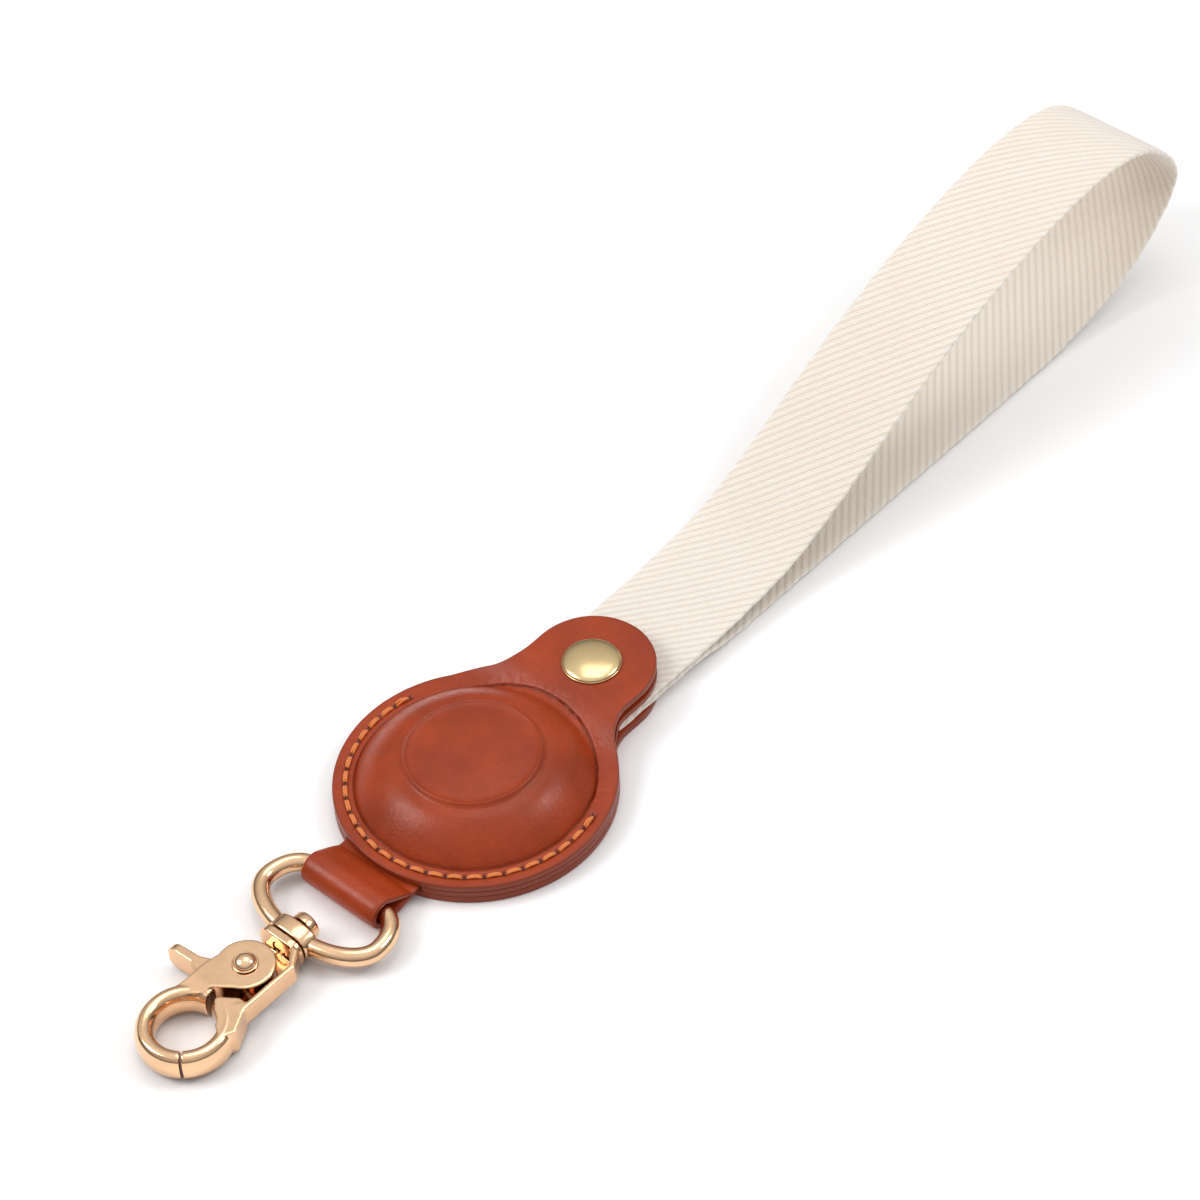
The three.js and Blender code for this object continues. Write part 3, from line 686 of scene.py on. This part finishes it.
def middle_leather(leather):
    """Middle leather with the tag's window and a notch for the clasp's loop."""
    def top(x, y):
        return FRONT_LOW - LAYER_ROOM + rise(y), 0.0

    def bottom(x, y):
        return LINER_LOW + rise(y)

    def rise(y):
        return ramp(y, LINER_NECK_TOP - LINER_THICK - LINER_LOW, DISC - 3.5 * MM, DISC - 0.3 * MM)

    inset = 0.04 * MM
    obj = cover(
        "middle_leather", top, bottom, inner=TAG_RADIUS, inset=inset, rounding=0.1 * MM,
        beyond=14, spokes=256)
    room = 0.3 * MM
    half = high("ring_loop").x + room
    inside = high("ring_loop").y + room
    middle = ((inside - 2 * DISC) / 2, inside + 2 * DISC)
    deselect_all()
    bpy.ops.mesh.primitive_cube_add(size=1, location=(0, middle[0], 0), scale=(2 * half, middle[1], DISC))
    cut_away(obj, bpy.context.object)
    finish_piece(obj, leather, ["liner"], "holder")


def back_leather(leather):
    """Flat back cover with a pressed seam and a recess for the rear snap cap."""
    recess = CAP_RADIUS + 0.3 * MM

    def top(x, y):
        return LINER_LOW - LAYER_ROOM, 0.0

    def bottom(x, y):
        radius = math.hypot(x, y)
        pressing_and_painted_shade = 0 if y > SEAM_END else groove(radius - SEAM_RADIUS, 0.4 * MM)
        return 0.45 * MM * pressing_and_painted_shade

    obj = cover(
        "back_leather", top, bottom, rounding=0.16 * MM, marks=(SEAM_RADIUS,), beyond=20, spokes=256)
    deselect_all()
    bpy.ops.mesh.primitive_cylinder_add(vertices=64, radius=recess, depth=1.8 * MM, location=(0, SNAP_Y, 0))
    cut_away(obj, bpy.context.object)
    finish_piece(obj, leather, ["back_cover"], "holder")


# ----------------------------------------------------------------------------------- seams


def strand(name, middle, along, out, length, width, bow, lean):
    """One twisted strand of a stitch: it rises out of one hole and dives into the next."""
    side = along.cross(out)

    def place(a, b):
        s = 2 * b - 1
        taper = math.sqrt(max(1 - abs(s) ** 3.2, 0))
        ply = 1 + 0.13 * math.cos(3 * (2 * math.pi * a + 4.2 * s))
        radius = width / 2 * taper * ply
        angle = 2 * math.pi * a
        offset = side * (radius * math.cos(angle) + lean * s) + out * radius * 0.95 * math.sin(angle)
        point = middle + along * (s * length / 2) + out * bow * (1 - s * s * 1.7) + offset
        # The mark is high on the plies' crowns and low in the grooves between them, for the thread's
        # painted shade and highlight.
        return point, 0.5 + 0.5 * math.cos(3 * (angle + 4.2 * s))

    return sleeve(name, 18, 14, place, marks=("painted_ply_shade",))


def seam(name, node, sizes, thread, height, out):
    """A row of double-stranded stitches. The last one at each end is sewn over twice."""
    angles, step = stitch_angles(sizes.stitches)
    length = SEAM_RADIUS * step * 0.84
    bow = 0.16 * MM
    strands = []
    for i, angle in enumerate(angles):
        ends = i in (0, len(angles) - 1)
        along = Vector((-math.sin(angle), math.cos(angle), 0))
        inwards = Vector((math.cos(angle), math.sin(angle), 0))
        for k, side in enumerate((-1, 1)):
            shift = inwards * side * sizes.thread * 0.40 + out * (0.04 * MM * k)
            jitter = noise.noise(Vector((i * 1.7, side, height * 1000)))
            middle = inwards * SEAM_RADIUS + Vector((0, 0, height)) + shift
            lean = 0.05 * jitter * MM
            strands.append(strand("strand", middle, along, out, length, sizes.thread, bow, lean))
            if ends:
                above = middle + out * bow + along * (0.25 * MM * side)
                over = strand("strand", above, along, out, length * 0.8, sizes.thread, 0.2 * MM, -lean)
                strands.append(over)
    obj = joined(name, *strands)
    finish_piece(obj, thread, [node], "holder")


# ------------------------------------------------------------------------------------ snap


def snap(colour_material, steel):
    """Domed front cap, socket, stud and rear cap."""
    seat = FLAP_LOW + FRONT_THICK + 0.03 * MM
    top = high("snap_cap").z
    lip = 0.15 * MM
    rim = CAP_RADIUS - lip
    dome_edge = rim + 0.03 * MM
    rise = top - seat - lip
    bulge = [(dome_edge * math.cos(t), seat + 1.9 * lip + (rise - 0.9 * lip) * math.sin(t) ** 0.9)
             for t in [math.pi / 2 * i / 26 for i in range(1, 26)]]
    front = [(0, seat), (rim - 0.4 * MM, seat), *arc((rim, seat + lip), lip, -90, 75, 12), *bulge, (0, top)]
    obj = turned("snap_cap_front", front, place=(0, SNAP_Y, 0))
    finish_piece(obj, colour_material, ["snap_cap"], "flap")

    floor = low("snap_post").z
    post = 1.2 * MM
    rear_top = 0.75 * MM
    rear_edge = 0.3 * MM
    rear = [(0, floor), (CAP_RADIUS - 0.5 * MM, floor),
            *arc((CAP_RADIUS - rear_edge, floor + rear_edge), rear_edge, -90, 60, 8),
            (CAP_RADIUS - 0.4 * MM, rear_top), (post, rear_top), (post, high("snap_post").z - 0.2 * MM),
            (post - 0.2 * MM, high("snap_post").z), (0, high("snap_post").z)]
    obj = turned("snap_cap_rear", rear, place=(0, SNAP_Y, 0))
    finish_piece(obj, colour_material, ["snap_post"], "holder")

    foot, head = low("snap_stud").z, high("snap_stud").z
    bore, flange, neck, knob = 1.3 * MM, high("snap_stud").x, 1.5 * MM, 1.75 * MM
    stud = [(bore, foot), (flange - 0.1 * MM, foot), (flange, foot + 0.1 * MM),
            (flange - 0.15 * MM, foot + 0.28 * MM),
            (neck + 0.2 * MM, foot + 0.32 * MM), (neck, foot + 0.45 * MM), (neck, foot + 0.7 * MM),
            *arc((knob - 0.35 * MM, foot + 1.1 * MM), 0.35 * MM, -50, 50, 8),
            *arc((knob - 0.45 * MM, head - 0.3 * MM), 0.3 * MM, 30, 90, 6), (bore, head), (bore, foot)]
    obj = turned("snap_stud_knob", stud, place=(0, SNAP_Y, 0))
    finish_piece(obj, colour_material, ["snap_stud"], "holder")

    under, over = low("snap_socket").z, high("snap_socket").z
    outer = SOCKET_RADIUS
    mouth = 2.5 * MM
    socket = [(mouth, under + 0.1 * MM), (mouth + 0.1 * MM, under), (mouth + 0.7 * MM, under),
              (mouth + 0.85 * MM, under + 0.12 * MM), (outer - 0.5 * MM, under + 0.12 * MM),
              *arc((outer - 0.22 * MM, under + 0.22 * MM), 0.22 * MM, -110, 30, 8), (outer, over),
              (mouth + 0.75 * MM, over), (mouth + 0.75 * MM, under + 0.16 * MM), (mouth, under + 0.16 * MM),
              (mouth, under + 0.1 * MM)]
    obj = turned("snap_socket_ring", socket, place=(0, SNAP_Y, 0))
    finish_piece(obj, colour_material, ["snap_socket"], "flap")
    frame["nodes"]["snap_spring"].data.materials.clear()
    frame["nodes"]["snap_spring"].data.materials.append(steel)


# --------------------------------------------------------------------------------- webbing


def webbing_line():
    """Middle line of the whole strip: out of the neck on top, round the far bend and back below."""
    def at(y, z):
        return Vector((0, NECK_END + y * LOOP_REACH, z))

    up = LOOP_TOP
    ground = PLY / 2 + 0.05 * MM
    free = [
        at(0.035, UPPER_PLY + 0.02 * MM), at(0.11, 0.09 * up + ground), at(0.21, 0.17 * up),
        at(0.31, 0.33 * up), at(0.42, 0.54 * up), at(0.55, 0.765 * up), at(0.69, 0.93 * up), at(0.81, up),
        at(0.91, 0.95 * up), at(0.975, 0.77 * up), at(1.0, 0.56 * up), at(0.965, 0.35 * up),
        at(0.89, 0.15 * up), at(0.81, 0.045 * up + ground), at(0.73, ground), at(0.55, ground),
        at(0.3, ground), at(0.11, ground), at(0.035, LOWER_PLY - 0.04 * MM),
    ]
    inside = [WEBBING_START, WEBBING_START + 5 * MM, WEBBING_START + 10 * MM, NECK_END - 1 * MM]
    first = [Vector((0, y, UPPER_PLY)) for y in inside]
    last = [Vector((0, y, LOWER_PLY)) for y in reversed(inside)]
    line = soft_curve([*first, *free, *last])
    for point in line:
        point.z = max(point.z, ground)
    return line


def webbing(webbing_material):
    """The whole strip of webbing, with soft selvedges."""
    along = 620
    line, length = evenly(webbing_line(), along)

    def place(a, b):
        i = round(b * along)
        ahead = (line[min(i + 1, along)] - line[max(i - 1, 0)]).normalized()
        normal = Vector((1, 0, 0)).cross(ahead)
        angle = 2 * math.pi * a
        across = WEBBING_HALF * rounded_power(math.cos(angle), 0.28)
        across += 0.05 * MM * math.sin(b * length / (0.9 * MM)) * rounded_power(math.cos(angle), 3)
        lift = PLY / 2 * rounded_power(math.sin(angle), 0.42)
        sway = 0.25 * MM * noise.noise(Vector((0, b * 9, 2.3)))
        point = line[i] + Vector((1, 0, 0)) * (across + sway * math.sin(math.pi * b)) + normal * lift
        return point, across, b * length

    obj = sleeve("webbing_strip", 64, along, place, marks=("across", "along"))
    finish_piece(obj, webbing_material, ["webbing_ends", "webbing_loop"], angle=60)
    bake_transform(obj)


# ---------------------------------------------------------------------------- clasp's loop


def clasp_loop(leather):
    """Leather strip folded round the ring's bar, with thinned ends tucked between the covers."""
    thick = 1.2 * MM
    fold = BAR.y - low("ring_loop").y - thick / 2
    tuck = high("ring_loop").y
    mouth = -DISC - 0.3 * MM
    between = LINER_LOW + LINER_THICK / 2
    half_gap = 0.26 * MM
    centre = Vector((0, BAR.y, BAR.z))
    start = Vector((0, mouth, between))
    spread = math.acos(fold / (start - centre).length)
    away = math.atan2(start.z - centre.z, start.y - centre.y)
    turn = 2 * math.pi - 2 * spread
    bend = []
    for i in range(41):
        angle = away + spread + turn * i / 40
        bend.append(centre + fold * Vector((0, math.cos(angle), math.sin(angle))))
    upper = [Vector((0, tuck, between + half_gap)), Vector((0, mouth, between + half_gap))]
    lower = [Vector((0, mouth, between - half_gap)), Vector((0, tuck, between - half_gap))]
    steps = 150
    line, length = evenly([*upper, *bend, *lower], steps)
    half = high("ring_loop").x

    def place(a, b):
        i = round(b * steps)
        ahead = (line[min(i + 1, steps)] - line[max(i - 1, 0)]).normalized()
        normal = ahead.cross(Vector((1, 0, 0)))
        inside = min(b, 1 - b) * length
        depth = thick * (0.40 + 0.60 * smooth((inside - 4.2 * MM) / (3.2 * MM)))
        angle = 2 * math.pi * a
        across = half * rounded_power(math.cos(angle), 0.16)
        lift = depth / 2 * rounded_power(math.sin(angle), 0.5)
        cut = smooth((abs(across) - half + 0.28 * MM) / (0.22 * MM))
        return line[i] + Vector((1, 0, 0)) * across + normal * lift, cut, 0.0

    obj = sleeve("clasp_loop", 72, steps, place, marks=("edge", "pressing_and_painted_shade"))
    finish_piece(obj, leather, ["ring_loop"], "holder", angle=60)


# ----------------------------------------------------------------------------------- clasp


def ring_line(count):
    """Middle line of the D ring's wire: straight bar, two corners and the arc."""
    half = RING_HALF
    straight = high("ring_loop").x - 0.3 * MM
    corner = 5.8 * MM
    depth = BAR.y - ARC.y
    right = []
    for t in [math.pi / 2 * i / 20 for i in range(21)]:
        x = straight + (half - straight) * math.sin(t)
        right.append(Vector((x, BAR.y - corner + corner * math.cos(t), BAR.z)))
    for t in [math.pi / 2 * i / 40 for i in range(1, 41)]:
        right.append(Vector((half * math.cos(t), BAR.y - corner - (depth - corner) * math.sin(t), BAR.z)))
    left = [Vector((-p.x, p.y, p.z)) for p in reversed(right[:-1])]
    closed = [*right, *left, right[0]]
    return evenly(closed, count)[0]


def swivel_collar():
    """Saddle on the D ring's arc, as long as the wire is thick, with rounded ends."""
    half_width = 4.1 * MM
    tall = BAR.z - 0.2 * MM
    half_long = WIRE
    rounding = 0.5 * MM
    end = []
    for t in [math.pi / 2 * i / 8 for i in range(9)]:
        end.append((half_long - rounding * (1 - math.sin(t)), 1 - math.cos(t)))
    stations = [(-y, pull) for y, pull in reversed(end)] + end

    def place(a, b):
        angle = 2 * math.pi * a
        y, pull = stations[round(b * (len(stations) - 1))]
        x = (half_width - rounding * pull) * rounded_power(math.cos(angle), 0.72)
        z = (tall - rounding * pull) * rounded_power(math.sin(angle), 0.86)
        return (Vector((x, ARC.y + y, BAR.z + z)),)

    return sleeve("collar", 96, len(stations) - 1, place)


def d_ring(metal):
    """D ring of round wire with the swivel's collar cast on its arc."""
    count = 220
    line = ring_line(count)

    def place(a, b):
        i = round(b * count)
        ahead = (line[(i + 1) % count] - line[(i - 1) % count]).normalized()
        side = ahead.cross(Vector((0, 0, 1)))
        angle = 2 * math.pi * a
        return (line[i] + side * (WIRE * math.cos(angle)) + Vector((0, 0, WIRE * math.sin(angle))),)

    wire = sleeve("wire", 40, count, place)
    collar = swivel_collar()
    deselect_all()
    bore_radius = 1.35 * MM
    bpy.ops.mesh.primitive_cylinder_add(
        vertices=40, radius=bore_radius, depth=12 * MM, location=ARC, rotation=(math.pi / 2, 0, 0))
    bore = bpy.context.object
    apply_modifier(wire, "BOOLEAN", operation="UNION", object=collar, solver="EXACT")
    bpy.data.objects.remove(collar)
    wire.name = wire.data.name = "d_ring_wire"
    cut_away(wire, bore)
    finish_piece(wire, metal, ["d_ring"], "ring", angle=35)


def swivel_post(metal):
    """Shaft with a domed, peened head inside the D ring."""
    lie_down = Matrix.Rotation(-math.pi / 2, 4, "X")
    head_low = ARC.y + 1.8 * MM
    head = high("swivel_pin").x
    shaft, tail = 1.1 * MM, low("swivel_pin").y
    cap = high("swivel_pin").y - head_low
    profile = [(0, tail - head_low), (shaft, tail - head_low), (shaft, 0), (head - 0.15 * MM, 0),
               (head, 0.12 * MM), (head, 0.7 * cap), (head - 0.2 * MM, 0.86 * cap),
               (head - 0.45 * MM, 0.9 * cap),
               (head - 0.55 * MM, 0.84 * cap), (head - 0.8 * MM, 0.96 * cap), (0.5 * MM, cap), (0, cap)]
    obj = turned("swivel_post", profile, 64, lie_down, (0, head_low, ARC.z))
    finish_piece(obj, metal, ["swivel_pin"], "hook", angle=50)


def hook(sizes, metal):
    """Hook body: flange, arm, back plate and fixed jaw."""
    obj = cast(copy_of("hook_body", "hook_casting"), sizes.casting, 26)
    finish_piece(obj, metal, ["hook_body"], "hook", angle=70)


def trigger(sizes, metal):
    """Lever: hub, moving jaw and thumb trigger."""
    obj = cast(copy_of("lever", "lever_casting"), sizes.casting, 26)
    finish_piece(obj, metal, ["lever"], "lever", angle=70)


def rivet_and_spring(metal, steel):
    """Domed rivet of the lever, and the coil under the hub."""
    foot = low("lever_rivet").z
    seat = high("lever").z + 0.08 * MM
    top = high("lever_rivet").z
    shaft, base = 1.2 * MM, high("lever_rivet").x
    step = 0.25 * MM
    dome = [((base - 0.22 * MM) * math.cos(t), seat + step + (top - seat - step) * math.sin(t))
            for t in [math.pi / 2 * i / 20 for i in range(20)]]
    profile = [(0, foot), (shaft, foot), (shaft, seat), (base - 0.05 * MM, seat), (base, seat + 0.06 * MM),
               (base, seat + step - 0.06 * MM), (base - 0.07 * MM, seat + step), *dome, (0, top)]
    obj = turned("lever_rivet_head", profile, 72, place=(0, RIVET.y, 0))
    finish_piece(obj, metal, ["lever_rivet"], "hook", angle=45)
    frame["nodes"]["lever_spring"].data.materials.clear()
    frame["nodes"]["lever_spring"].data.materials.append(steel)


# ----------------------------------------------------------------------------------- stage


def aim(obj, target, roll=0.0):
    facing = (Vector(target) - obj.location).to_track_quat("-Z", "Y")
    obj.rotation_euler = (facing.to_matrix() @ Matrix.Rotation(roll, 3, "Z")).to_euler()


def softbox(name, bearing, elevation, distance, size, watts, ahead):
    """A square soft light, aimed at a point ahead of the pouch along +Y. Its bearing is measured from +X
    towards +Y, in degrees."""
    target = (0, ahead, 0)
    deselect_all()
    flat = distance * math.cos(math.radians(elevation))
    away = Vector((flat * math.cos(math.radians(bearing)), flat * math.sin(math.radians(bearing)),
                   distance * math.sin(math.radians(elevation))))
    bpy.ops.object.light_add(type="AREA", location=Vector(target) + away)
    light = bpy.context.object
    light.name = name
    light.data.shape = "SQUARE"
    light.data.size = size
    light.data.energy = watts
    aim(light, target)


def camera():
    middle = (CAD_BOX[0][1] + CAD_BOX[1][1]) / 2
    target = Vector((-12.9 * MM, middle - 6.3 * MM, 0))
    bearing, elevation = math.radians(44.59), math.radians(45.9)
    distance = 640.9 * MM
    back = Vector((math.sin(bearing) * math.cos(elevation), -math.cos(bearing) * math.cos(elevation),
                   math.sin(elevation)))
    deselect_all()
    bpy.ops.object.camera_add(location=target + back * distance)
    view = bpy.context.object
    view.data.lens = 116.7
    view.data.sensor_width = 36
    view.data.clip_start = 0.01
    aim(view, target, math.radians(-4.08))
    bpy.context.scene.camera = view


def room():
    """Pale floor, white surroundings and softboxes on both sides of the camera."""
    deselect_all()
    bpy.ops.mesh.primitive_plane_add(size=6, location=(0, 0, 0))
    floor = bpy.context.object
    floor.name = "floor"
    floor.data.transform(Matrix.Translation((0, 0, -0.05 * MM)))
    floor.data.materials.append(floor_finish())
    softbox("left_softbox", bearing=223, elevation=46, distance=0.8, size=0.34, watts=2.5, ahead=0)
    softbox("right_softbox", bearing=47, elevation=46, distance=0.85, size=0.26, watts=1.6, ahead=0.03)
    softbox("top_softbox", bearing=120, elevation=74, distance=0.95, size=0.5, watts=1.3, ahead=0.05)
    world = bpy.context.scene.world or bpy.data.worlds.new("studio")
    bpy.context.scene.world = world
    world.use_nodes = True
    tree = world.node_tree
    sky = tree.nodes["Background"]
    coords = tree.nodes.new("ShaderNodeTexCoord")
    split = tree.nodes.new("ShaderNodeSeparateXYZ")
    fade = tree.nodes.new("ShaderNodeMapRange")
    fade.inputs["From Min"].default_value = 0.05
    fade.inputs["From Max"].default_value = 0.9
    fade.inputs["To Min"].default_value = 0.06
    fade.inputs["To Max"].default_value = 0.9
    tree.links.new(coords.outputs["Generated"], split.inputs[0])
    tree.links.new(split.outputs["Z"], fade.inputs["Value"])
    tree.links.new(fade.outputs["Result"], sky.inputs["Strength"])
    sky.inputs["Color"].default_value = (1, 1, 1, 1)
    bpy.context.scene.view_settings.view_transform = "Standard"


# ------------------------------------------------------------------------------- operators


class WristletStep(bpy.types.Operator):
    """One step of the build."""

    bl_options = {"REGISTER", "UNDO"}

    def execute(self, context):
        settings = context.scene
        self.make(settings.wristlet_sizes, settings.wristlet_colours)
        return {"FINISHED"}


class MakeStage(WristletStep):
    """Sets the camera, the floor and the lights."""

    bl_idname = "wristlet.stage"
    bl_label = "Stage"

    def make(self, sizes, colours):
        camera()
        room()


class MakeWebbing(WristletStep):
    """Lays the webbing from the neck round the wrist loop and back."""

    bl_idname = "wristlet.webbing"
    bl_label = "Webbing"

    def make(self, sizes, colours):
        webbing(webbing_finish(sizes, colours))


class MakeLeather(WristletStep):
    """Shapes the three leathers of the pouch and the clasp's loop."""

    bl_idname = "wristlet.leather"
    bl_label = "Leather"

    def make(self, sizes, colours):
        leather = leather_finish(sizes, colours)
        back_leather(leather)
        middle_leather(leather)
        front_leather(sizes, leather)
        clasp_loop(leather)


class MakeSeams(WristletStep):
    """Sews the front and the back seam."""

    bl_idname = "wristlet.seams"
    bl_label = "Seams"

    def make(self, sizes, colours):
        thread = thread_finish(colours)
        surface = FRONT_LOW + FRONT_THICK - 0.02 * MM
        seam("front_stitches", "front_thread", sizes, thread, surface, Vector((0, 0, 1)))
        seam("back_stitches", "back_thread", sizes, thread, 0.42 * MM, Vector((0, 0, -1)))


class MakeSnap(WristletStep):
    """Turns the snap's four parts and finishes its spring."""

    bl_idname = "wristlet.snap"
    bl_label = "Snap"

    def make(self, sizes, colours):
        snap(metal_finish("pale_brass", colours.snap, 0.16), spring_finish())


class MakeClasp(WristletStep):
    """Casts the D ring, the hook, the trigger and their rivets."""

    bl_idname = "wristlet.clasp"
    bl_label = "Clasp"

    def make(self, sizes, colours):
        metal = metal_finish("rose_gold", colours.clasp, 0.10)
        d_ring(metal)
        swivel_post(metal)
        hook(sizes, metal)
        trigger(sizes, metal)
        rivet_and_spring(metal, spring_finish())


STEPS = (MakeStage, MakeWebbing, MakeLeather, MakeSeams, MakeSnap, MakeClasp)


class WristletPanel(bpy.types.Panel):
    """Lists the sizes, the colours and the steps in the sidebar."""

    bl_idname = "VIEW3D_PT_wristlet"
    bl_label = "Wristlet keychain"
    bl_space_type = "VIEW_3D"
    bl_region_type = "UI"
    bl_category = "Wristlet"

    def draw(self, context):
        for group in (context.scene.wristlet_sizes, context.scene.wristlet_colours):
            for name in group.__annotations__:
                self.layout.prop(group, name)
        for step in STEPS:
            self.layout.operator(step.bl_idname)


CLASSES = (WristletSizes, WristletColours, *STEPS, WristletPanel)


def register():
    for cls in CLASSES:
        bpy.utils.register_class(cls)
    bpy.types.Scene.wristlet_sizes = bpy.props.PointerProperty(type=WristletSizes)
    bpy.types.Scene.wristlet_colours = bpy.props.PointerProperty(type=WristletColours)


def unregister():
    del bpy.types.Scene.wristlet_colours
    del bpy.types.Scene.wristlet_sizes
    for cls in reversed(CLASSES):
        bpy.utils.unregister_class(cls)


def main():
    register()
    bpy.ops.wristlet.stage()
    bpy.ops.wristlet.webbing()
    bpy.ops.wristlet.leather()
    bpy.ops.wristlet.seams()
    bpy.ops.wristlet.snap()
    bpy.ops.wristlet.clasp()


if __name__ == "__main__":
    main()
